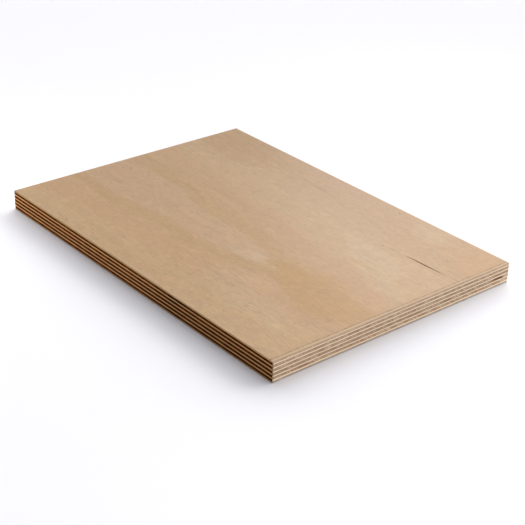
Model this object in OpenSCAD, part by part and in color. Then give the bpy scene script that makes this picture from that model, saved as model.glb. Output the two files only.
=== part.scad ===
// Cut panel of birch plywood, lying flat with its face veneer up.
// Veneers are glued in a stack with their grain crossed. The outer veneers and the
// long plies run along X, and the cross plies between them run along Y.
// The origin is the centre of the bottom face, and +Z points up through the stack.

/* [Panel] */
// Length of the panel, along the grain of the outer veneers
panel_l = 297; // [200:1:600]
// Width of the panel, across the grain of the outer veneers
panel_w = 210; // [120:1:400]

/* [Plies] */
// Number of core plies, odd so that both outer veneers run the same way
core_count = 9; // [3:2:15]
// Thickness of one core ply
core_t = 1.42; // [1:0.02:2.6]
// Thickness of one outer veneer, less than a core ply because both faces are sanded
outer_t = 1.11; // [0.5:0.01:2.6]

/* [Core gap in the first cross ply] */
// Width of the gap along the long edge, where two veneer strips were laid apart
wide_gap_w = 18; // [4:0.5:40]
// How far the gap runs into the panel, along the grain of its ply
wide_gap_d = 26; // [4:0.5:60]
// Distance of the gap's middle from the +X end of the long edge
wide_gap_at = 94.3; // [25:0.1:170]

/* [Core gap in the second cross ply] */
// Width of the gap along the long edge
small_gap_w = 8; // [2:0.5:20]
// How far the gap runs into the panel
small_gap_d = 9; // [2:0.5:60]
// Distance of the gap's middle from the +X end of the long edge
small_gap_at = 99; // [15:0.1:185]

/* [Core gap in the third long ply] */
// Width of the gap along the short edge
end_gap_w = 9; // [2:0.5:16]
// How far the gap runs into the panel, along the grain of its ply
end_gap_d = 12; // [2:0.5:60]
// Distance of the gap's middle from the +Y end of the short edge
end_gap_at = 10.5; // [9:0.1:90]

/* [Hidden] */
// Cross plies and long plies take turns through the core, with a cross ply at each side of it
cross_count = (core_count + 1) / 2;
long_count = (core_count - 1) / 2;
panel_t = core_count * core_t + 2 * outer_t;
// How far a cutter reaches past the ply that it cuts
past = 1;

cross_names = [for (n = [1 : cross_count]) str("cross_ply_", n)];
long_names = [for (n = [1 : long_count]) str("long_ply_", n)];

// Height of the underside of core ply k, counted from the top
function core_z(k) = panel_t - outer_t - k * core_t;

// A veneer of the panel's full size, t thick, with its underside at height z
module veneer(t, z) {
  translate([-panel_l / 2, -panel_w / 2, z])
    cube([panel_l, panel_w, t]);
}

// Cuts a gap of width w and depth d into the long edge at -Y, through the core ply at height z
module long_edge_gap(w, d, at, z) {
  translate([panel_l / 2 - at - w / 2, -panel_w / 2 - past, z - past])
    cube([w, d + past, core_t + 2 * past]);
}

// Cuts a gap of width w and depth d into the short edge at +X, through the core ply at height z
module short_edge_gap(w, d, at, z) {
  translate([panel_l / 2 - d, panel_w / 2 - at - w / 2, z - past])
    cube([d + past, w, core_t + 2 * past]);
}

module face_veneer() {
  color("#cdb196")
    veneer(outer_t, panel_t - outer_t);
}

module cross_ply(n) {
  z = core_z(2 * n - 1);
  color("#d8c0a2")
    difference() {
      veneer(core_t, z);
      if (n == 1) long_edge_gap(wide_gap_w, wide_gap_d, wide_gap_at, z);
      if (n == 2) long_edge_gap(small_gap_w, small_gap_d, small_gap_at, z);
    }
}

module long_ply(n) {
  z = core_z(2 * n);
  color("#a58768")
    difference() {
      veneer(core_t, z);
      if (n == 3) short_edge_gap(end_gap_w, end_gap_d, end_gap_at, z);
    }
}

module back_veneer() {
  color("#c4a78a")
    veneer(outer_t, 0);
}

face_veneer();
for (n = [1 : cross_count]) {
  cross_ply(n);
}
for (n = [1 : long_count]) {
  long_ply(n);
}
back_veneer();
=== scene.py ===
# %% [markdown]
# # A cut panel of birch plywood
# Plywood is a stack of thin veneers, peeled off a turning log and glued with their grain crossed.
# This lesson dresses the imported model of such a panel: every ply gets its sawn edge, the glue
# between them shows as dark lines, and the face gets the soft figure of a peeled veneer.
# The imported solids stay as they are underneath. They say where each ply lies and how thick it is.

import math

import bpy
import numpy as np
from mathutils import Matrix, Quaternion, Vector


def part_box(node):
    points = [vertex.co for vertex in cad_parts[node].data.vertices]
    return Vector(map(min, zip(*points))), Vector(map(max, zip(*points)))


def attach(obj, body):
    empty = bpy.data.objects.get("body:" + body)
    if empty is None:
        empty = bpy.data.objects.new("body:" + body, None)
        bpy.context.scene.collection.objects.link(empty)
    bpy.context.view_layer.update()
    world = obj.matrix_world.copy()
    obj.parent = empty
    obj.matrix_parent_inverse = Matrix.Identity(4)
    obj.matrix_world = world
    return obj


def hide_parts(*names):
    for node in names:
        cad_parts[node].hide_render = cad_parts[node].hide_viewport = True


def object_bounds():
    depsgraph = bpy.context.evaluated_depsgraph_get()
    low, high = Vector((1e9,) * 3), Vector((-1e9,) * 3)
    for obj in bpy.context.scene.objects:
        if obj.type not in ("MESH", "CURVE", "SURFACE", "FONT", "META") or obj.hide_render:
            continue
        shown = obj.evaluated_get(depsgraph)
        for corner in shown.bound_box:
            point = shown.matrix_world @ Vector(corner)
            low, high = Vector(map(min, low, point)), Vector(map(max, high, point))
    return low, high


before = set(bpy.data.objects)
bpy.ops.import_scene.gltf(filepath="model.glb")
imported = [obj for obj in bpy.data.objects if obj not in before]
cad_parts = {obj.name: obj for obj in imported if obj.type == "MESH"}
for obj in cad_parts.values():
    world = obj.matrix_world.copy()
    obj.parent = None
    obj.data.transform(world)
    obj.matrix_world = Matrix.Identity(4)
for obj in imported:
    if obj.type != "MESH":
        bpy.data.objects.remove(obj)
CAD_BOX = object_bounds()
MM = 0.001
LOW, HIGH = CAD_BOX
LENGTH, WIDTH, THICKNESS = HIGH - LOW
print(f"panel {LENGTH / MM:.1f} x {WIDTH / MM:.1f} x {THICKNESS / MM:.1f} mm")

# %% [markdown]
# ## Adding nodes
# Materials and Geometry Nodes are both trees of nodes, so one function adds any node to either.
# It sets what the node is told and links what it is fed. A node stands for its first output.

# %% Add a node and feed it
def feed(node, links):
    """Sets inputs of a node to plain values, or links them to what other nodes give."""
    for key, value in links.items():
        source = getattr(value, "socket", value)
        if isinstance(source, bpy.types.Node):
            source = source.outputs[0]
        if isinstance(source, bpy.types.NodeSocket):
            node.id_data.links.new(source, node.inputs[key])
        else:
            node.inputs[key].default_value = source


def add(tree, kind, links=None, **settings):
    """Adds a node of that kind with its settings, and feeds it."""
    made = tree.nodes.new(kind)
    for name, value in settings.items():
        setattr(made, name, value)
    feed(made, links or {})
    return made


# %% [markdown]
# ## Numbers and colours
# Most patterns are sums, and sums are hard to read as nodes. So a number that a node gives is
# wrapped as a Value, and (a - 0.5) * b is written as in plain Python while the nodes get added.
# Colours are written as everyday sRGB hex, and one function turns them into the linear numbers
# that shaders work in.

# %% Write sums with what nodes give
class Value:
    """A number that a node gives, for use in sums. Comparisons give 1 for true and 0 for false."""

    def __init__(self, socket):
        self.socket = socket

    def work(self, operation, *inputs):
        """What one step of a sum, such as MINIMUM or SQRT, makes of these inputs."""
        links = dict(enumerate(inputs))
        return Value(add(self.socket.id_data, "ShaderNodeMath", links, operation=operation).outputs[0])

    def eased(self, from_low, from_high, to_low=0.0, to_high=1.0):
        """This value eased from one range into another, and held at both ends."""
        links = {"Value": self, "From Min": from_low, "From Max": from_high,
                 "To Min": to_low, "To Max": to_high}
        made = add(self.socket.id_data, "ShaderNodeMapRange", links, interpolation_type="SMOOTHSTEP")
        return Value(made.outputs[0])

    def __add__(self, other):
        return self.work("ADD", self, other)

    def __radd__(self, other):
        return self.work("ADD", other, self)

    def __sub__(self, other):
        return self.work("SUBTRACT", self, other)

    def __rsub__(self, other):
        return self.work("SUBTRACT", other, self)

    def __mul__(self, other):
        return self.work("MULTIPLY", self, other)

    def __truediv__(self, other):
        return self.work("DIVIDE", self, other)

    def __mod__(self, other):
        return self.work("MODULO", self, other)

    def __abs__(self):
        return self.work("ABSOLUTE", self)

    def __gt__(self, other):
        return self.work("GREATER_THAN", self, other)

    def __lt__(self, other):
        return self.work("LESS_THAN", self, other)


# %% Turn a hex colour linear
def linear(hex_colour):
    """The linear RGBA of an sRGB hex colour such as #c9a67c."""
    shares = [int(hex_colour[i:i + 2], 16) / 255 for i in (1, 3, 5)]
    return [s / 12.92 if s <= 0.04045 else ((s + 0.055) / 1.055) ** 2.4 for s in shares] + [1.0]


print("mid grey in linear numbers:", [round(share, 3) for share in linear("#808080")])

# %% [markdown]
# ## Camera
# The panel is seen from above one corner with a long lens, so that its edges stay nearly parallel.
# The camera is placed by angles around an aim point, which is easier to read than raw coordinates.
# Azimuth 0 is in front of the panel, on its -Y side, and 90 is at its +X end.

# %% Place the camera
AZIMUTH, ELEVATION, ROLL = 49.41, 27.8, 1.93
AIM = Vector((19.6, -5.3, -5.0)) * MM
DISTANCE = 929.1 * MM
LENS, SENSOR = 90.55, 36.0


def around(azimuth, elevation):
    """The direction from the panel towards that azimuth and elevation, both in degrees."""
    turned, raised = math.radians(azimuth), math.radians(elevation)
    level = math.cos(raised)
    return Vector((math.sin(turned) * level, -math.cos(turned) * level, math.sin(raised)))


back = around(AZIMUTH, ELEVATION)
camera = bpy.data.objects.new("camera", bpy.data.cameras.new("camera"))
camera.data.lens = LENS
camera.data.sensor_width = SENSOR
camera.location = AIM + back * DISTANCE
camera.rotation_mode = "QUATERNION"
rolled = Quaternion((0, 0, 1), math.radians(ROLL))
camera.rotation_quaternion = (-back).to_track_quat("-Z", "Y") @ rolled
scene = bpy.context.scene
scene.collection.objects.link(camera)
scene.camera = camera
print("camera at", [round(c, 3) for c in camera.location])

# %% [markdown]
# ## Light
# The panel stands in a white studio. Its walls give a faint bluish fill, while the camera sees
# plain white behind the panel.

# %% Set the sky
SKY_FILL = 0.12
scene.view_settings.view_transform = "Standard"
world = bpy.data.worlds.new("studio")
scene.world = world
world.use_nodes = True
sky = world.node_tree
sky.nodes.clear()
fill = add(sky, "ShaderNodeBackground", {"Color": linear("#e9edf7"), "Strength": SKY_FILL})
white = add(sky, "ShaderNodeBackground", {"Color": linear("#ffffff"), "Strength": 1.0})
seen = add(sky, "ShaderNodeLightPath").outputs["Is Camera Ray"]
mix = add(sky, "ShaderNodeMixShader", {0: seen, 1: fill, 2: white})
add(sky, "ShaderNodeOutputWorld", {"Surface": mix})
print("sky", world.name, "fills with", SKY_FILL)

# %% [markdown]
# An arc of four wide, low lights behind the panel throws the soft shadow towards the viewer and
# skims the face. A wide light overhead opens up the near edges, which would otherwise go black.
# Suns with a large angle act like big softboxes far away: even, with soft-edged shadows.

# %% Hang the far lights
def hang(name, kind, place, aim, energy, colour, **settings):
    """A lamp of that kind at place that faces aim, both in metres."""
    data = bpy.data.lights.new(name, kind)
    data.energy = energy
    data.color = linear(colour)[:3]
    for setting, value in settings.items():
        setattr(data, setting, value)
    lamp = bpy.data.objects.new(name, data)
    lamp.location = place
    lamp.rotation_mode = "QUATERNION"
    lamp.rotation_quaternion = (Vector(aim) - Vector(place)).to_track_quat("-Z", "Y")
    scene.collection.objects.link(lamp)
    return lamp


# Each sun: name, azimuth, elevation, energy, colour, and how many degrees of sky it fills
SUNS = (
    ("arc_right", 125, 25, 0.36, "#ffffff", 45),
    ("arc_back_right", 170, 25, 1.45, "#fffcf6", 45),
    ("arc_back", 215, 25, 1.75, "#fffaf2", 45),
    ("arc_back_left", 260, 25, 1.35, "#fbf8f4", 45),
    ("overhead", 245, 75, 1.05, "#f4f6ff", 60),
)
for name, azimuth, elevation, energy, colour, spread in SUNS:
    place = around(azimuth, elevation)
    lamp = hang(name, "SUN", place, (0, 0, 0), energy, colour, angle=math.radians(spread))
    print(lamp.name, "azimuth", azimuth, "elevation", elevation, "energy", energy)

# %% [markdown]
# Four small softboxes stand close by. Two brighten the right edge, one lifts the left corner,
# and the widest only lays a cool sheen on the far right of the face. Its diffuse light is
# switched off, so it adds gloss and brightens nothing else.

# %% Place the softboxes
# Each softbox: name, place, aim, energy, colour and size, all lengths in metres
SOFTBOXES = (
    ("near_right", (0.20, 0.22, 0.20), (0.13, 0.08, 0.0), 0.15, "#ffffff", 0.10),
    ("low_right", (0.36, -0.18, 0.05), (0.148, -0.07, 0.0), 0.040, "#ffeeda", 0.10),
    ("near_left", (-0.26, -0.22, 0.10), (-0.13, -0.105, 0.0), 0.13, "#fbf6f0", 0.10),
    ("sheen", (-0.175, 0.40, 0.25), (0.16, 0.11, 0.0), 1.5, "#eef3ff", 0.30),
)
for name, place, aim, energy, colour, size in SOFTBOXES:
    lamp = hang(name, "AREA", place, aim, energy, colour, size=size)
    lamp.visible_camera = False
    lamp.visible_diffuse = name != "sheen"
    print(lamp.name, "energy", energy, "size", size)

# %% [markdown]
# ## Floor
# A plain pale floor, large enough that its edge never shows.

# %% Lay the floor
def new_material(name):
    """A new material, and the Principled BSDF that it starts with."""
    made = bpy.data.materials.new(name)
    made.use_nodes = True
    return made, made.node_tree.nodes["Principled BSDF"]


FLOOR_SIZE = 60
bpy.ops.mesh.primitive_plane_add(size=FLOOR_SIZE, location=(0, 0, LOW.z))
floor = bpy.context.object
floor.name = "floor"
# Matt wall paint: it spreads the light evenly and mirrors next to nothing
paint, coat = new_material("matt_white_floor")
feed(coat, {"Base Color": linear("#f2f3f7"), "Roughness": 0.9})
floor.data.materials.append(paint)
print("floor", FLOOR_SIZE, "m wide")

# %% [markdown]
# ## Patterns in wood
# Wood is drawn with three tools. Noise stretched along the grain gives streaks, pores and
# clouds. A soft ellipse marks one place, such as a knot. And a blend lays one colour over
# another. They all work in real millimetres, so that a streak 25 mm long says 25.

# %% Helpers for patterns
def place_mm(tree):
    """Object coordinates in mm: x, y and z."""
    place = add(tree, "ShaderNodeTexCoord").outputs["Object"]
    axes = add(tree, "ShaderNodeSeparateXYZ", {0: place}).outputs
    return [Value(axis) * (1 / MM) for axis in axes]


def stretched(x, y, along, across, seed, detail=2.0):
    """Noise from 0 to 1 whose grains measure about along x across mm."""
    tree = x.socket.id_data
    at = add(tree, "ShaderNodeCombineXYZ", {"X": x / along, "Y": y / across, "Z": seed})
    noise = add(tree, "ShaderNodeTexNoise", {"Vector": at, "Scale": 1.0, "Detail": detail})
    return Value(noise.outputs["Fac"])


def spot(x, y, middle, size, lean=0.0):
    """1 in the middle of an ellipse of that size in mm, falling to 0 at its border."""
    off_x = x - middle[0]
    off_y = (y - middle[1]) - off_x * lean
    share_x, share_y = off_x / size[0], off_y / size[1]
    far = share_x * share_x + share_y * share_y
    return far.eased(0.1, 1.0, 1.0, 0.0)


def blend(share, below, above):
    """The colour above laid over the one below by that share. Either may be a hex colour."""
    below, above = (linear(c) if isinstance(c, str) else c for c in (below, above))
    tree = share.socket.id_data
    made = add(tree, "ShaderNodeMix", {0: share, "A": below, "B": above}, data_type="RGBA")
    return made.outputs["Result"]


# %% [markdown]
# ## How the panel shows its wood
# A veneer shows its long grain on two sawn edges and its end grain on the other two. Long grain
# is pale and finely streaked. End grain drinks light and stain: it is dark, stippled, and crossed
# by slanting lathe checks, which the peeling knife opens in the veneer's lower side.
# So one material for sawn plies reads attributes that the mesh carries: end_grain (0 or 1), run
# (the way along the edge in mm), rise (0 at the ply's underside, 1 at its top) and tone.

# %% Grain and glue of a sawn edge
STREAK_LONG, STREAK_HIGH = 25.0, 0.3
CHECK_PITCH, CHECK_LONG, CHECK_LEAN = 0.9, 8.0, 1.1
# Birch pores are finer than 0.1 mm, so they are drawn as coarse as they need to show
PORE_SIZE = 0.35
PATCH_LONG, PATCH_HIGH = 7.0, 1.4
# Where the glue's full stain ends, and how far it soaks in, as shares of a ply's thickness
GLUE_FILM, GLUE_SOAK = 0.06, 0.26


def edge_grain(run, z):
    """Three patterns, in mm: long-grain streaks, the bright parts of end grain, and patches."""
    streak = stretched(run, z, STREAK_LONG, STREAK_HIGH, 3.0, 3.0)
    patch = stretched(run, z, PATCH_LONG, PATCH_HIGH, 9.0)
    pores = stretched(run, z, PORE_SIZE, PORE_SIZE, 6.0, 1.0)
    # Slanting checks about CHECK_PITCH apart cut a stippled, patchy ground
    checks = stretched(run + z * CHECK_LEAN, z, CHECK_PITCH, CHECK_LONG, 5.0)
    ground = pores * 0.4 + patch * 0.6
    return streak, checks.eased(0.34, 0.58) * ground.eased(0.32, 0.66), patch


def glue_stain(rise, patch):
    """How much the glue darkens the wood, most at both glue lines and with a ragged border."""
    from_glue = rise.work("MINIMUM", rise, 1.0 - rise)
    ragged = from_glue + (patch - 0.5) * 0.16
    return ragged.eased(GLUE_FILM, GLUE_SOAK, 0.95, 0.0)


# %% [markdown]
# The saw leaves traces too. Knots, pith flecks and a butt joint show where they meet the cut.
# Painted shade darkens the front edge towards its +X end, and its end grain most.

# %% Flaws and painted shade of a sawn edge
FLAW_COLOUR = "#46200a"
# Each flaw: edge, middle, size and strength, in mm along the edge and up
FLAWS = (
    ("right", (-80.0, 3.2), (7.0, 0.7), 0.55),
    ("right", (66.0, 6.0), (2.5, 0.5), 0.5),
    ("right", (44.0, 5.9), (3.0, 0.5), 0.35),
    ("right", (14.0, 8.9), (2.0, 0.5), 0.4),
    ("right", (58.0, 8.8), (2.0, 0.5), 0.45),
    ("right", (-8.0, 6.2), (5.0, 0.5), 0.3),
    ("front", (54.7, 5.2), (0.7, 6.0), 0.4),
    ("front", (-62.0, 6.2), (0.5, 5.0), 0.2),
)
# How deep an edge's flaws and painted shade reach in from the panel's box
EDGE_SKIN = 1 * MM
# Where along x the painted shade starts and is full, in mm, and what it takes from long and end grain
PAINTED_SHADE_RANGE = (0.0, 55.0)
PAINTED_SHADE_LONG, PAINTED_SHADE_END = 0.17, 0.36


def flawed(colour, x, y, z, on_edge):
    """The colour with every flaw laid over it."""
    for edge, middle, size, strength in FLAWS:
        mark = spot(y if edge == "right" else x, z, middle, size)
        colour = blend(mark * on_edge[edge] * strength, colour, FLAW_COLOUR)
    return colour


def share_after_painted_shade(x, on_front, end_grain, painted_shade_weight):
    """The share of brightness that the painted shade on the front edge leaves."""
    painted_shade = x.eased(*PAINTED_SHADE_RANGE) * (on_front * painted_shade_weight)
    return 1.0 - painted_shade * (PAINTED_SHADE_LONG + end_grain * (PAINTED_SHADE_END - PAINTED_SHADE_LONG))


# %% [markdown]
# The two kinds of ply take the stain differently. A cross ply's grain runs across the panel, so
# it shows cream long grain at the short ends and nearly black end grain along the front. A long
# ply does the reverse: warm tan along the front, pale end grain at the short ends. The two outer
# veneers run lengthwise as well and are a little greyer. The mesh's tone makes single plies
# darker or paler.

# %% Material of a sawn ply edge
EDGE_RELIEF = 0.08 * MM


def sawn_ply(name, painted_shade_weight, long_wood, end_wood, stains):
    """Rotary-cut birch as the saw leaves it. The pairs of colours are pale and dark long grain,
    pale and dark end grain, and the glue stain on long and on end grain."""
    made, skin = new_material(name)
    tree = made.node_tree
    end_grain, run, rise, tone = (
        Value(add(tree, "ShaderNodeAttribute", attribute_name=carried).outputs["Fac"])
        for carried in ("end_grain", "run", "rise", "tone"))
    x, y, z = place_mm(tree)
    streak, bright, patch = edge_grain(run, z)
    wood = blend(end_grain, blend(streak, *long_wood[::-1]), blend(bright, *end_wood[::-1]))
    colour = blend(glue_stain(rise, patch), wood, blend(end_grain, *stains))
    on_edge = {"right": x > (LENGTH / 2 - EDGE_SKIN) / MM, "front": y < (-WIDTH / 2 + EDGE_SKIN) / MM}
    colour = flawed(colour, x, y, z, on_edge)
    cloudy = 0.93 + stretched(run, z, 30.0, 1.0, 12.0) * 0.14
    # Painted shade: the front edge darkens towards +X
    shade = tone * share_after_painted_shade(x, on_edge["front"], end_grain, painted_shade_weight) * cloudy
    colour = add(tree, "ShaderNodeVectorMath", {0: colour, "Scale": shade}, operation="SCALE")
    # A fuzzy saw cut has no gloss at all, and the bump lets its grooves catch the low light
    relief = add(tree, "ShaderNodeMix", {0: end_grain, 2: streak, 3: bright})
    bump = add(tree, "ShaderNodeBump", {"Height": relief, "Strength": 0.5, "Distance": EDGE_RELIEF})
    feed(skin, {"Base Color": colour, "Roughness": 0.8, "Specular IOR Level": 0.0, "Normal": bump})
    return made


# The number after each name is how much painted shade that kind of ply takes along the front edge
EDGES = {
    "cross_ply": sawn_ply("sawn_birch_cross_ply", 1.0, ("#fff0dc", "#f8dcc0"),
                          ("#935010", "#441a00"), ("#b68e69", "#300d00")),
    "long_ply": sawn_ply("sawn_birch_long_ply", 1.0, ("#f6bf89", "#d6a06a"),
                         ("#f2d8ba", "#b08c6c"), ("#4e2a0e", "#a48462")),
    "face_veneer": sawn_ply("sawn_birch_face_veneer", 0.0, ("#e0b684", "#c89a68"),
                            ("#f6dec2", "#c4a688"), ("#6a431f", "#b09070")),
    "back_veneer": sawn_ply("sawn_birch_back_veneer", 0.3, ("#d6af84", "#b48b5e"),
                            ("#e8dfd2", "#c4b4a4"), ("#5a3414", "#a8947c")),
}
print("edge materials:", [m.name for m in EDGES.values()])

# %% [markdown]
# ## The sawn plies
# Every core ply follows one rule: a rectangle as large as the panel and as thick as its veneer,
# with a saw-rough rim. Geometry Nodes suit that, with one tree for all of them and a few named
# inputs. A strip of grid is wrapped round the rectangle, its rows become the rim, and the spare
# rows close the two broad faces. Then the rim is pushed inwards only, so the ply never grows.

# %% The strip and the rectangle it wraps
HAIR = 0.01 * MM  # a column this near a side of the rectangle lies on it
SPARE_ROWS = 4.0


def strip_of(tree, given):
    """A flat strip with one column for each step round the rim and two spare rows on each side.
    Also each point's place across it, its way round the rim, and its rise from 0 to 1."""
    perimeter = (given["Length"] + given["Width"]) * 2.0
    steps = perimeter / given["Step"]
    rows = given["Rows"] + SPARE_ROWS
    strip = add(tree, "GeometryNodeMeshGrid", {
        "Size X": perimeter, "Size Y": rows,
        "Vertices X": steps.work("ROUND", steps) + 1.0, "Vertices Y": rows + 1.0})
    at = add(tree, "ShaderNodeSeparateXYZ", {0: add(tree, "GeometryNodeInputPosition")}).outputs
    run = Value(at["X"]) + perimeter * 0.5
    row = Value(at["Y"]) + rows * 0.5
    rise = add(tree, "ShaderNodeMapRange", {
        "Value": row, "From Min": SPARE_ROWS / 2, "From Max": rows - SPARE_ROWS / 2})
    return strip, Value(at["Y"]), run, Value(rise.outputs["Result"])


def outline_at(tree, given, run):
    """The point of the rectangle that lies that way round its rim, as a vector."""
    outline = add(tree, "GeometryNodeCurvePrimitiveQuadrilateral",
                  {"Width": given["Length"], "Height": given["Width"]})
    return add(tree, "GeometryNodeSampleCurve", {"Curves": outline, "Length": run},
               mode="LENGTH", use_all_curves=True).outputs["Position"]


def side(coordinate, half):
    """-1, 0 or 1: whether this column lies on the low side, neither, or the high side."""
    return coordinate.work("SIGN", coordinate) * (abs(coordinate) > half - HAIR)


def shows_end_grain(given, run):
    """1 on the two sides that the ply's fibres run into, and 0 on the other two."""
    perimeter = (given["Length"] + given["Width"]) * 2.0
    on_long_side = ((run - given["Length"]) + perimeter) % (perimeter * 0.5) > given["Width"]
    return abs((1.0 - on_long_side) - given["Grain Across"])


# %% [markdown]
# The saw leaves slow waves and torn fibres. Along each glue line a fine crevice shows, and the
# plies lie back by up to a few hundredths of a millimetre. Where two strips of a core veneer
# don't meet, a gap with a ragged mouth opens in the rim.

# %% How far the rim is pushed in
WAVE_LONG, FIBRE_WIDE = 9 * MM, 0.9 * MM
GLUE_SHARE = 0.01  # a point whose rise is this near 0 or 1 lies on a glue line


def push_of(tree, given, point, rise):
    """How far a point of the rim moves inwards: roughness, crevice, setback and core gap."""
    lift = add(tree, "ShaderNodeCombineXYZ", {"Z": given["Seed"] + rise * given["Thickness"]})
    where = add(tree, "ShaderNodeVectorMath", {0: point, 1: lift}, operation="ADD")
    waves, fibres = (
        Value(add(tree, "ShaderNodeTexNoise", {"Vector": where, "Scale": 1 / size, "Detail": 1.0})
              .outputs["Fac"]) for size in (WAVE_LONG, FIBRE_WIDE))
    torn = add(tree, "ShaderNodeMapRange", {"Value": fibres, "From Min": 0.55, "From Max": 0.8})
    rough = waves * 0.5 + Value(torn.outputs["Result"])
    at_glue = rise.work("MINIMUM", rise, 1.0 - rise) < GLUE_SHARE
    push = (rough * given["Roughness"] + given["Setback"]) + at_glue * given["Crevice"]

    aside = add(tree, "ShaderNodeVectorMath", {0: point, 1: given["Gap Middle"]}, operation="SUBTRACT")
    aside = add(tree, "ShaderNodeVectorMath", {0: aside}, operation="ABSOLUTE")
    apart = [Value(axis) for axis in add(tree, "ShaderNodeSeparateXYZ", {0: aside}).outputs]
    in_gap = push.work("MAXIMUM", apart[0], apart[1]) < given["Gap Width"] * (0.42 + fibres * 0.14)
    return push + in_gap * given["Gap Depth"]


# %% [markdown]
# The spare rows lie flat on the ply's two broad faces. The outer one of each pair shrinks to the
# middle point, and the inner one becomes a ring inside the rim. The ring lies deeper than any
# core gap, so the pushed rim never crosses it.

# %% Where each point of the strip goes
CAP_INSET = 40 * MM


def target_of(tree, given, across, run, rise):
    """The place of each point: on the rim, on the ring inside a broad face, or in its middle."""
    point = outline_at(tree, given, run)
    xy = add(tree, "ShaderNodeSeparateXYZ", {0: point}).outputs
    push = push_of(tree, given, point, rise)
    high = given["Bottom"] + rise * given["Thickness"]
    rim, ring = {"Z": high}, {"Z": high}
    for axis, size in (("X", given["Length"]), ("Y", given["Width"])):
        coordinate, half = Value(xy[axis]), size * 0.5
        limit = half - CAP_INSET
        rim[axis] = coordinate - side(coordinate, half) * push
        ring[axis] = add(tree, "ShaderNodeClamp",
                         {"Value": coordinate, "Min": limit * -1.0, "Max": limit})
    rim, ring, middle = (add(tree, "ShaderNodeCombineXYZ", at) for at in (rim, ring, {"Z": high}))
    from_middle, half_rows = abs(across), (given["Rows"] + SPARE_ROWS) * 0.5
    target = rim
    for spare, place in ((1.5, ring), (0.5, middle)):
        target = add(tree, "ShaderNodeMix", {0: from_middle > half_rows - spare, 4: target, 5: place},
                     data_type="VECTOR").outputs[1]
    return target


# %% [markdown]
# Now the parts join up. The strip stores what the material reads while it is still flat and
# every point has its own place on it, then it is wrapped, welded and given its finish.

# %% The tree of one ply
WELD = 0.002 * MM  # nearer points merge, which closes the strip's seam and the two middles
PLY_SOCKETS = (
    ("Length", "Float"), ("Width", "Float"), ("Bottom", "Float"), ("Thickness", "Float"),
    ("Step", "Float"), ("Rows", "Int"), ("Roughness", "Float"), ("Crevice", "Float"),
    ("Setback", "Float"), ("Grain Across", "Float"), ("Gap Middle", "Vector"),
    ("Gap Width", "Float"), ("Gap Depth", "Float"), ("Seed", "Float"), ("Tone", "Float"),
    ("Material", "Material"))


def ply_tree():
    """The node group that makes one sawn ply, and the identifier of each of its inputs."""
    tree = bpy.data.node_groups.new("sawn_veneer", "GeometryNodeTree")
    inputs = {name: tree.interface.new_socket(name, in_out="INPUT", socket_type="NodeSocket" + kind)
              for name, kind in PLY_SOCKETS}
    tree.interface.new_socket("Geometry", in_out="OUTPUT", socket_type="NodeSocketGeometry")
    given = {name: Value(socket) for name, socket in add(tree, "NodeGroupInput").outputs.items()}
    body, across, run, rise = strip_of(tree, given)
    target = target_of(tree, given, across, run, rise)
    carried = (("end_grain", shows_end_grain(given, run), "FACE"), ("run", run * (1 / MM), "CORNER"),
               ("rise", rise, "CORNER"), ("tone", given["Tone"], "FACE"))
    for name, value, domain in carried:
        body = add(tree, "GeometryNodeStoreNamedAttribute",
                   {"Geometry": body, "Name": name, "Value": value}, data_type="FLOAT", domain=domain)
    body = add(tree, "GeometryNodeSetPosition", {"Geometry": body, "Position": target})
    body = add(tree, "GeometryNodeMergeByDistance", {"Geometry": body, "Distance": WELD})
    body = add(tree, "GeometryNodeRealizeInstances", {"Geometry": body})
    body = add(tree, "GeometryNodeSetMaterial", {"Geometry": body, "Material": given["Material"]})
    add(tree, "NodeGroupOutput", {"Geometry": body})
    return tree, {name: socket.identifier for name, socket in inputs.items()}


PLY_TREE, PLY_INPUTS = ply_tree()
print("tree", PLY_TREE.name, "with", len(PLY_TREE.nodes), "nodes and", len(PLY_INPUTS), "inputs")

# %% [markdown]
# A modifier runs the tree on an empty mesh. The result is copied into a plain mesh, because
# that is what the export keeps, and the object with the modifier goes.

# %% Make a ply from the tree
def put_in_scene(name, shape):
    """An object of that name and mesh, placed at the origin."""
    made = bpy.data.objects.new(name, shape)
    scene.collection.objects.link(made)
    return made


def veneer_from_tree(name, **values):
    """A plain mesh made by the tree with these inputs, named in words such as gap_depth."""
    maker = put_in_scene(name + "_maker", bpy.data.meshes.new(name + "_maker"))
    nodes = maker.modifiers.new("sawn", "NODES")
    nodes.node_group = PLY_TREE
    for key, value in values.items():
        nodes[PLY_INPUTS[key.replace("_", " ").title()]] = value
    shape = bpy.data.meshes.new_from_object(maker.evaluated_get(bpy.context.evaluated_depsgraph_get()))
    bpy.data.objects.remove(maker)
    shape.name = name
    return put_in_scene(name, shape)


# %% [markdown]
# Nine core plies come out of the one tree. Each rides on the panel's only body and takes the
# place of its imported solid.

# %% Gaps and tones of the core plies
# Where a core gap opens on an edge: its middle, width and depth, as in the imported solids
GAPS = {
    "cross_ply_1": ((HIGH.x - 94.3 * MM, LOW.y, 0), 18 * MM, 26 * MM),
    "cross_ply_2": ((HIGH.x - 99 * MM, LOW.y, 0), 8 * MM, 9 * MM),
    "long_ply_3": ((HIGH.x, HIGH.y - 10.5 * MM, 0), 9 * MM, 12 * MM),
}
NO_GAP = ((0, 0, 0), 0.0, 0.0)
# Every veneer comes off another log: how much paler or darker than the rest each one is
TONES = {"cross_ply_2": 1.03, "cross_ply_4": 1.03, "cross_ply_5": 1.22, "long_ply_1": 1.03,
         "long_ply_2": 1.04, "long_ply_3": 0.98, "long_ply_4": 1.1}
print("core gaps in", sorted(GAPS))

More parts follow.
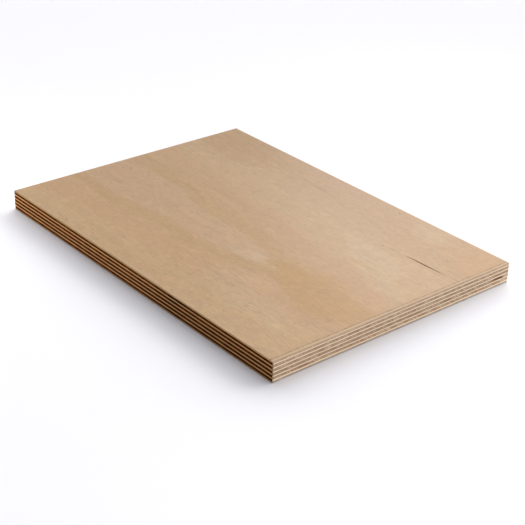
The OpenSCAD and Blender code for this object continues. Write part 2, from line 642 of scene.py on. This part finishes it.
# %% Saw all the core plies
RIM_STEP, RIM_ROWS = 0.5 * MM, 6
SAW_ROUGHNESS, GLUE_CREVICE = 0.1 * MM, 0.1 * MM
SETBACK_STEP = 0.01 * MM
core = sorted(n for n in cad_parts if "_ply_" in n)
for number, node in enumerate(core):
    low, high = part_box(node)
    across = node.startswith("cross")
    gap_middle, gap_width, gap_depth = GAPS.get(node, NO_GAP)
    ply = veneer_from_tree(
        node + "_sawn", length=LENGTH, width=WIDTH, bottom=low.z, thickness=high.z - low.z,
        step=RIM_STEP, rows=RIM_ROWS, roughness=SAW_ROUGHNESS, crevice=GLUE_CREVICE,
        setback=SETBACK_STEP * (number * 5 % 7), grain_across=1.0 if across else 0.0,
        gap_middle=gap_middle, gap_width=gap_width, gap_depth=gap_depth,
        seed=1.7 * number + 0.3, tone=TONES.get(node, 1.0),
        material=EDGES["cross_ply" if across else "long_ply"])
    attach(ply, "root")
    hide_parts(node)
    print(ply.name, len(ply.data.polygons), "faces")

# %% [markdown]
# ## The face veneer's figure
# A veneer is peeled from the turning log like paper from a roll, so the growth rings open into
# wide, quiet waves. Here one long tongue of pale wood points to the right, with a yellow-brown
# ring round it, then pinker and greyer ones. The figure is a distance field: how far a point
# lies outside the tongue's border. A colour ramp turns that distance into rings, and noise
# bends them.

# %% Rings round a tongue
TONGUE_AXIS, TONGUE_TIP = -28.0, 40.0
# How blunt the tip is and how far it reaches, in mm
TIP_ROUND, TIP_REACH = 12.0, 14.0
# Half the tongue's width at its tip, and how much it gains just behind it, in mm
TONGUE_HALF, TONGUE_SWELL = 8.0, 4.0
# Rings: the distance outside the tongue in mm, and the wood's colour there
RINGS = ((-30, "#aa8764"), (-5, "#ac8c69"), (0, "#a98862"), (5, "#a7865c"), (10, "#a7865d"),
         (17, "#ab8963"), (30, "#ab8862"), (44, "#ac8d66"), (68, "#ac8d68"), (86, "#a78761"),
         (110, "#a6855e"))


def outside_tongue(x, y):
    """The distance outside a tongue that is rounded at its tip and slowly widens to the left."""
    past = x - TONGUE_TIP
    ahead, behind = (past.work("MAXIMUM", way, 0.0) for way in (past, past * -1.0))
    nose, swell = (1.0 - way.work("EXPONENT", way / -TIP_ROUND) for way in (ahead, behind))
    off_tip = nose * TIP_REACH + ahead * 0.12
    off_axis = y - (behind * 0.03 + TONGUE_AXIS)
    squares = off_tip * off_tip + off_axis * off_axis
    half = (TONGUE_HALF + swell * TONGUE_SWELL) + behind * 0.06
    return squares.work("SQRT", squares) - half


def ringed(tree, outside):
    """The colour of the ring at that distance outside the tongue."""
    first, last = RINGS[0][0], RINGS[-1][0]
    share = add(tree, "ShaderNodeMapRange", {"Value": outside, "From Min": first, "From Max": last})
    ramp = add(tree, "ShaderNodeValToRGB", {0: share})
    stops = ramp.color_ramp.elements
    for number, (where, colour) in enumerate(RINGS):
        stop = stops[number] if number < 2 else stops.new(1.0)
        stop.position = (where - first) / (last - first)
        stop.color = linear(colour)
    return ramp.outputs[0]


# %% [markdown]
# A real face is never that tidy. Broad tints break up the rings, streaks and clouds along the
# grain change the brightness by a few parts in a hundred, and short dark and light flecks, the
# wood's cut rays and pores, cover it all. Long open grain shows only near the front corner.

# %% Tints, streaks and flecks
# Broad tints: middle, size, lean, colour and strength (lengths in mm)
TINTS = (
    ((104, 24), (66, 17), -0.45, "#b29b7c", 0.34),
    ((104, -28), (64, 26), -0.1, "#a17b3e", 0.5),
    ((76, -68), (58, 20), -0.15, "#af9777", 0.28),
    ((-122, 84), (55, 30), 0.0, "#9f7b4f", 0.4),
    ((132, 84), (34, 26), -0.2, "#a67f50", 0.32),
    ((10, 14), (100, 18), -0.08, "#ac8562", 0.12),
    ((88, 94), (26, 12), 0.0, "#b29b7c", 0.25),
    ((20, -95), (130, 8), 0.05, "#a68057", 0.25),
    ((38, -29), (24, 11), 0.0, "#b29c7e", 0.22),
)
# Streaks and clouds: length and width of a grain in mm, seed, detail, and how much it shades
GRAINS = ((90, 3.2, 11.0, 3.0, 0.20), (26, 0.9, 13.0, 2.0, 0.20), (12, 5, 15.0, 2.0, 0.19),
          (5, 2, 17.0, 1.0, 0.20))
# Flecks: length, width, seed and detail of the noise, the range that shows, and the shading
DARK_FLECKS = (5.0, 0.7, 19.0, 1.0), (0.56, 0.74), -0.18
LIGHT_FLECKS = (4.0, 0.9, 29.0, 1.0), (0.58, 0.76), 0.14
OPEN_GRAIN = (40.0, 0.8, 31.0, 2.0), (0.5, 0.66), -0.12
OPEN_AT, OPEN_SIZE = (90, -80), (130, 75)
PAINTED_LIGHT_PER_MM = 0.00055  # painted light: the face is a little brighter towards +X, as a share per mm


def flecked(x, y, noise, shown, shading):
    """The shading of flecks, which show only where their noise is within a range."""
    return stretched(x, y, *noise).eased(*shown, 0.0, shading)


def face_shade(x, y, bent, marks):
    """How bright each place of the face is. Single marks on it are darker still."""
    shade = 1.0
    for *grain, strength in GRAINS:
        shade = shade + (stretched(x, bent, *grain) - 0.5) * strength
    shade = shade + flecked(x, y, *DARK_FLECKS) + flecked(x, y, *LIGHT_FLECKS)
    # Painted light brightens the face towards +X
    shade = shade + flecked(x, bent, *OPEN_GRAIN) * spot(x, y, OPEN_AT, OPEN_SIZE) + x * PAINTED_LIGHT_PER_MM
    for middle, size, lean, strength in marks:
        shade = shade - spot(x, y, middle, size, lean) * strength
    return shade


# %% [markdown]
# Three waves of noise bend the figure: a slow wander and a quick ripple shift the rings, and a
# drift tears the borders of the tints. Sanded birch has a dull sheen, so the face is half rough
# and reflects little. Where the sander eased the edge the wood is paler. Where fibres are torn
# it is dark brown, and the same brown paints the shade inside the check and the tear groove.

# %% Colour of a sanded birch face
# Each wave: length and width of a grain in mm, seed, detail, and how far it shifts in mm
WANDER, RIPPLE, DRIFT = (70, 26, 2.0, 2.0, 24.0), (30, 4, 7.0, 3.0, 16.0), (30, 9, 5.0, 3.0, 60.0)
# The torn brown is torn wood and painted shade in the check and the tear groove
EASED_WOOD, TORN_AND_SHADED_WOOD = "#b69a79", "#703f12"
# Pores, cut lengthwise: length, width, seed and detail, drawn as coarse as they need to show
PORES = (3.0, 0.35, 23.0, 1.0)
PORE_DEPTH = 0.05 * MM


def sanded_face(name, marks):
    """Peeled birch veneer, sanded: rings round a tongue, streaks and flecks along X, dull sheen."""
    made, skin = new_material(name)
    tree = made.node_tree
    x, y, _ = place_mm(tree)
    wander, ripple, drift = ((stretched(x, y, *noise) - 0.5) * shift
                             for *noise, shift in (WANDER, RIPPLE, DRIFT))
    bent, drifted = y + (wander + ripple), x + drift
    tinted = ringed(tree, outside_tongue(x, bent))
    for middle, size, lean, tint, strength in TINTS:
        tinted = blend(spot(drifted, bent, middle, size, lean) * strength, tinted, tint)
    shade = face_shade(x, y, bent, marks)
    wood = add(tree, "ShaderNodeVectorMath", {0: tinted, "Scale": shade}, operation="SCALE")
    eased, torn = (Value(add(tree, "ShaderNodeAttribute", attribute_name=carried).outputs["Fac"])
                   for carried in ("eased", "torn"))
    colour = blend(torn, blend(eased, wood, EASED_WOOD), TORN_AND_SHADED_WOOD)
    bump = add(tree, "ShaderNodeBump", {"Height": stretched(x, y, *PORES), "Strength": 0.25,
                                        "Distance": PORE_DEPTH})
    feed(skin, {"Base Color": colour, "Roughness": 0.5, "Specular IOR Level": 0.1, "Normal": bump})
    return made


# Marks on the face, such as pin knots and short drying lines: middle, size, lean and strength
MARKS = (
    ((-18.0, 81.2), (26.0, 0.8), -0.073, 0.14),
    ((-17.0, 80.8), (17.0, 0.45), 0.0, 0.22),
    ((78.6, 53.2), (1.8, 0.8), 0.0, 0.35),
    ((48.9, 99.2), (1.3, 0.9), 0.0, 0.5),
    ((-85.0, -99.7), (1.4, 0.8), 0.0, 0.5),
    ((87.0, 54.6), (11.0, 0.45), 0.02, 0.28),
    ((144.0, 56.8), (9.0, 0.45), 0.03, 0.25),
)
FACE = sanded_face("peeled_birch_sanded_face", MARKS)
BACK = sanded_face("peeled_birch_sanded_back", ())
print("face materials:", FACE.name, BACK.name)

# %% [markdown]
# ## The outer veneers
# The face has three things a plain slab lacks: arrises rubbed slightly round, a narrow strip at
# the right short edge that the sander dipped into, torn along its inner side, and a drying
# check, a slim split along the grain. They are a few tenths of a millimetre deep, so the slab
# is a grid whose lines crowd together only where such a feature lies. The back is plain.

# %% Grid lines of the outer veneers
HALF_LENGTH, HALF_WIDTH = LENGTH / MM / 2, WIDTH / MM / 2


def lines(*stretches):
    """Grid lines for stretches of (start, end, step), in mm, each line once."""
    found = []
    for start, end, step in stretches:
        count = max(1, round((end - start) / step))
        found += list(np.linspace(start, end, count + 1))
    return np.unique(np.round(found, 4))


# Fine steps cross the strip at the right edge (in x) and the check (in y)
FACE_GRID = (lines((-HALF_LENGTH, 72, 3.0), (72, HALF_LENGTH - 4.5, 1.0),
                   (HALF_LENGTH - 4.5, HALF_LENGTH, 0.25)),
             lines((-HALF_WIDTH, 53, 1.0), (53, 58, 0.12), (58, HALF_WIDTH, 1.0)))
BACK_GRID = (lines((-HALF_LENGTH, HALF_LENGTH, 1.5)), lines((-HALF_WIDTH, HALF_WIDTH, 1.5)))
for side_name, ways in (("face", FACE_GRID), ("back", BACK_GRID)):
    print(side_name, "grid lines:", [len(way) for way in ways])

# %% [markdown]
# The relief is worked out with arrays, one number for each point of the grid.

# %% Relief of the face
# The check's middle line, then how far its lips part from that line and how deep it goes, in mm
CHECK = ((94.0, 54.7), (108.0, 55.4), (118.0, 55.7), (129.0, 55.9), (138.0, 56.4))
CHECK_WIDE, CHECK_DEEP = 0.6, 0.36
STRIP_FRONT, STRIP_BACK, STRIP_DROP = 2.9, 1.9, 0.22
TEAR_WIDE, TEAR_DEEP, TEARS = 0.36, 0.10, 150


def strip_relief(grid_x, grid_y, chance):
    """The strip at the right edge: how low it lies, how torn and shaded its groove is, and how eased it
    is.
    """
    wide = np.interp(grid_y, (-HALF_WIDTH, HALF_WIDTH), (STRIP_FRONT, STRIP_BACK))
    wide = wide + 0.12 * np.sin(grid_y / 7.0)
    inside = HALF_LENGTH - grid_x
    places = np.linspace(-HALF_WIDTH, HALF_WIDTH, TEARS)
    rows = np.interp(grid_y, places, chance.uniform(0, 1, TEARS) ** 1.5)
    tear = np.exp(-((inside - wide) / TEAR_WIDE) ** 2) * (0.3 + 0.7 * rows)
    drop = STRIP_DROP * np.clip(1 - inside / wide, 0, 1) + TEAR_DEEP * tear
    return drop, 0.95 * tear, np.clip((wide - inside) / 0.3, 0, 1)


def check_relief(grid_x, grid_y):
    """The drying check: how low it lies, and how dark its torn wood and painted shade are."""
    middle = np.interp(grid_x, *zip(*CHECK)) + 0.06 * np.sin(grid_x * 1.3)
    share = np.clip((grid_x - CHECK[0][0]) / (CHECK[-1][0] - CHECK[0][0]), 0, 1)
    half = CHECK_WIDE * np.sin(math.pi * share ** 0.95) ** 1.2 + 1e-6
    depth = np.clip(1 - np.abs(grid_y - middle) / half, 0, 1)
    opened = half / CHECK_WIDE
    torn = 0.8 * np.clip(depth * 2.5, 0, 1) * np.clip(opened * 1.3, 0, 1)
    return CHECK_DEEP * depth * np.clip(opened, 0, 1), torn


# %% [markdown]
# The good side is a grid of quads. Its border, walked once round, is the top ring of the sawn
# walls. Four more rings with a saw-rough surface lead down to the glue line, and one flat face
# closes the slab there. For the back veneer the same slab is turned over, so that it lies with
# its good side down.

# %% Walls of a veneer slab
ARRIS = 0.12  # how wide the rubbed corner between face and edge is, in mm
WALL_RISES = (0.82, 0.55, 0.28, 0.0)
SAW_ROUGH = 0.07
SEED = 41
# How far the glue line lies back under the face, and over the back
FACE_SETBACK, BACK_SETBACK = 0.08, 0.25
TOUCH = 1e-3  # a point this near the border lies on it, in mm


def border_side(value, half):
    """-1, 0 or 1: whether a point lies on the low border of the grid, neither, or the high one."""
    return np.sign(value) * (np.abs(value) > half - TOUCH)


def wall_rings(round_x, round_y, top_z, setback, chance):
    """The points of each ring below the border, from the top one down to the glue line."""
    side_x, side_y = border_side(round_x, HALF_LENGTH), border_side(round_y, HALF_WIDTH)
    rings = []
    for rise in WALL_RISES:
        push = SAW_ROUGH * chance.uniform(0, 1, len(round_x)) ** 2 + (setback if rise == 0 else 0.0)
        rings.append(np.stack([round_x - side_x * push, round_y - side_y * push,
                               rise * (top_z - ARRIS)], -1))
    return rings


def wall_corners(round_x, round_y, up):
    """What each wall face's corners carry: their way along the edge in mm, and their rise."""
    step = np.hypot(np.diff(round_x, append=round_x[0]), np.diff(round_y, append=round_y[0]))
    run = np.concatenate([[0], np.cumsum(step)])
    runs, rises = [], []
    for high_share, low_share in zip((1.0,) + WALL_RISES, WALL_RISES):
        corner_run = np.stack([run[:-1], run[1:], run[1:], run[:-1]], -1)
        corner_rise = np.tile([low_share, low_share, high_share, high_share], (len(round_x), 1))
        runs.append(corner_run if up else corner_run[:, ::-1])
        rises.append(corner_rise if up else 1 - corner_rise[:, ::-1])
    return np.concatenate(runs).reshape(-1), np.concatenate(rises).reshape(-1)


# %% The mesh of a veneer slab, and what it carries
def border_loop(grid):
    """The grid's border points, walked once round."""
    return np.concatenate([grid[0, :-1], grid[:-1, -1], grid[-1, :0:-1], grid[:0:-1, 0]])


def slab_mesh(name, points, quads, rings, up):
    """A closed mesh of the grid's quads, the walls between the rings, and one last face."""
    walls = [np.stack([b, np.roll(b, -1), np.roll(a, -1), a], -1) for a, b in zip(rings, rings[1:])]
    polygons = [list(map(int, quad)) for quad in np.concatenate([quads] + walls)]
    polygons.append([int(i) for i in rings[-1][::-1]])
    if not up:
        polygons = [polygon[::-1] for polygon in polygons]
    shape = bpy.data.meshes.new(name)
    shape.from_pydata((points * MM).tolist(), [], polygons)
    return shape


def carry(shape, *carried):
    """Stores numbers on the mesh for the materials to read: name, domain and values."""
    for name, domain, values in carried:
        made = shape.attributes.new(name, "FLOAT", domain)
        made.data.foreach_set("value", values.astype(np.float32))


# %% [markdown]
# Now the parts join up: relief, grid, walls, two finishes, and the numbers that the materials
# read. Both slabs take what is random in them from one fixed seed.

# %% A whole outer veneer
def outer_veneer(name, box, up, finish, edge):
    """A veneer slab whose good side faces up or down, with sawn walls of their own material."""
    low, high = box
    thick = (high.z - low.z) / MM
    grid_x, grid_y = np.meshgrid(*(FACE_GRID if up else BACK_GRID))
    chance = np.random.default_rng(SEED)
    drop, torn, eased = (np.zeros(grid_x.shape) for _ in range(3))
    if up:
        drop, torn, eased = strip_relief(grid_x, grid_y, chance)
        check_drop, check_torn_and_shade = check_relief(grid_x, grid_y)
        drop, torn = drop + check_drop, np.maximum(torn, check_torn_and_shade)
    # The arris: the border lies lower and further in by about half its width
    border = np.ones(grid_x.shape, bool)
    border[1:-1, 1:-1] = False
    drop[border] += ARRIS * 0.5
    top = np.stack([grid_x - border_side(grid_x, HALF_LENGTH) * ARRIS * 0.4,
                    grid_y - border_side(grid_y, HALF_WIDTH) * ARRIS * 0.4, thick - drop], -1)

    index = np.arange(grid_x.size).reshape(grid_x.shape)
    quads = np.stack([index[:-1, :-1], index[:-1, 1:], index[1:, 1:], index[1:, :-1]], -1).reshape(-1, 4)
    loop, round_x, round_y = border_loop(index), border_loop(grid_x), border_loop(grid_y)
    setback = FACE_SETBACK if up else BACK_SETBACK
    walls = wall_rings(round_x, round_y, thick - border_loop(drop), setback, chance)
    points = np.concatenate([top.reshape(-1, 3)] + walls)
    if not up:
        points[:, 2] = thick - points[:, 2]
    points[:, 2] += low.z / MM
    count = len(loop)
    rings = [loop] + [grid_x.size + number * count + np.arange(count) for number in range(len(walls))]
    shape = slab_mesh(name, points, quads, rings, up)

    shape.materials.append(finish)
    shape.materials.append(edge)
    faces = len(shape.polygons)
    on_wall = np.zeros(faces, int)
    on_wall[len(quads):] = 1
    shape.polygons.foreach_set("material_index", on_wall)
    end_grain = np.zeros(faces)
    on_short_side = np.abs((round_x + np.roll(round_x, -1)) / 2) > HALF_LENGTH - TOUCH
    end_grain[len(quads):-1] = np.tile(on_short_side, len(walls))
    runs, rises = wall_corners(round_x, round_y, up)
    on_grid, on_cap = np.zeros(len(quads) * 4), np.zeros(count)
    on_walls = np.zeros(count * len(walls))
    carry(shape,
          ("end_grain", "FACE", end_grain),
          ("run", "CORNER", np.concatenate([on_grid, runs, on_cap])),
          ("rise", "CORNER", np.concatenate([on_grid, rises, on_cap])),
          ("torn", "POINT", np.concatenate([torn.reshape(-1), on_walls])),
          ("eased", "POINT", np.concatenate([eased.reshape(-1), on_walls])),
          ("tone", "FACE", np.ones(faces)))
    shape.update()
    return put_in_scene(name, shape)


# %% [markdown]
# The face lies with its good side up and the back with its good side down. Each takes the place
# of its imported solid.

# %% Lay the two outer veneers
for node, up, finish in (("face_veneer", True, FACE), ("back_veneer", False, BACK)):
    slab = outer_veneer(node + "_sanded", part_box(node), up, finish, EDGES[node])
    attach(slab, "root")
    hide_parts(node)
    print(slab.name, len(slab.data.polygons), "faces")
